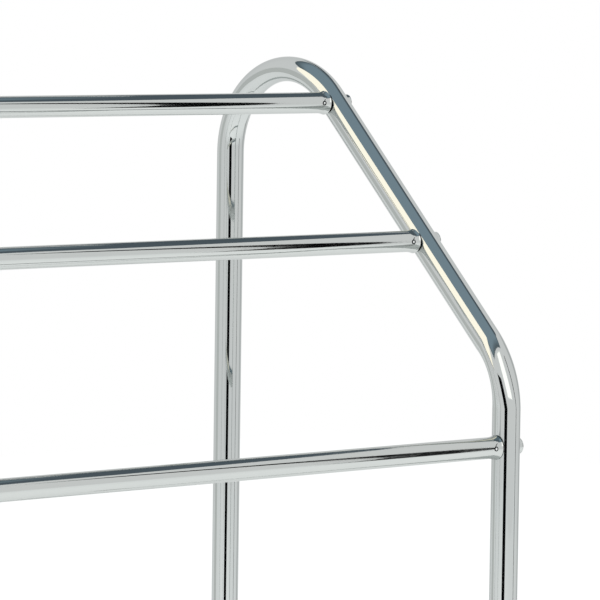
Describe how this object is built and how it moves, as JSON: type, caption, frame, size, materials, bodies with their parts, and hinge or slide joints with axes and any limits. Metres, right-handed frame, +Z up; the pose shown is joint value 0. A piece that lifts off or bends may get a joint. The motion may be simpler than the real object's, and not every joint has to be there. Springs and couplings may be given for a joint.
{
  "type": "freestanding towel stand",
  "caption": "Free-standing chrome towel stand: bent-tube side frames with a sloping front, joined by stepped round rails for hanging towels.",
  "frame": {"origin": "on the floor, midway between the side frames and midway between the front and rear legs", "axes": "+Z up, +X along the rails to the right as seen from the front, -Y is the front"},
  "size_m": [0.7106, 0.3996, 0.9],
  "materials": {
    "frame_chrome": "polished chrome plate on steel tube",
    "rail_chrome": "polished chrome plate on steel tube",
    "bolt_chrome": "polished chrome plate on steel",
    "washer_chrome": "polished chrome plate on steel",
    "rivet_chrome": "plated steel, satin",
    "plug_nylon": "black moulded nylon",
    "foot_rubber": "matt moulded rubber"
  },
  "bodies": {
    "root": {"foot_front_left": "foot_rubber", "foot_front_right": "foot_rubber", "foot_rear_left": "foot_rubber", "foot_rear_right": "foot_rubber", "lower_rail": "rail_chrome", "lower_rail_left_bolt": "bolt_chrome", "lower_rail_left_plug": "plug_nylon", "lower_rail_left_rivet": "rivet_chrome", "lower_rail_left_washer": "washer_chrome", "lower_rail_right_bolt": "bolt_chrome", "lower_rail_right_plug": "plug_nylon", "lower_rail_right_rivet": "rivet_chrome", "lower_rail_right_washer": "washer_chrome", "middle_rail": "rail_chrome", "middle_rail_left_bolt": "bolt_chrome", "middle_rail_left_plug": "plug_nylon", "middle_rail_left_rivet": "rivet_chrome", "middle_rail_left_washer": "washer_chrome", "middle_rail_right_bolt": "bolt_chrome", "middle_rail_right_plug": "plug_nylon", "middle_rail_right_rivet": "rivet_chrome", "middle_rail_right_washer": "washer_chrome", "rear_stretcher": "rail_chrome", "rear_stretcher_left_bolt": "bolt_chrome", "rear_stretcher_left_plug": "plug_nylon", "rear_stretcher_left_rivet": "rivet_chrome", "rear_stretcher_left_washer": "washer_chrome", "rear_stretcher_right_bolt": "bolt_chrome", "rear_stretcher_right_plug": "plug_nylon", "rear_stretcher_right_rivet": "rivet_chrome", "rear_stretcher_right_washer": "washer_chrome", "side_frame_left": "frame_chrome", "side_frame_right": "frame_chrome", "top_rail": "rail_chrome", "top_rail_left_bolt": "bolt_chrome", "top_rail_left_plug": "plug_nylon", "top_rail_left_rivet": "rivet_chrome", "top_rail_left_washer": "washer_chrome", "top_rail_right_bolt": "bolt_chrome", "top_rail_right_plug": "plug_nylon", "top_rail_right_rivet": "rivet_chrome", "top_rail_right_washer": "washer_chrome"}
  },
  "joints": []
}
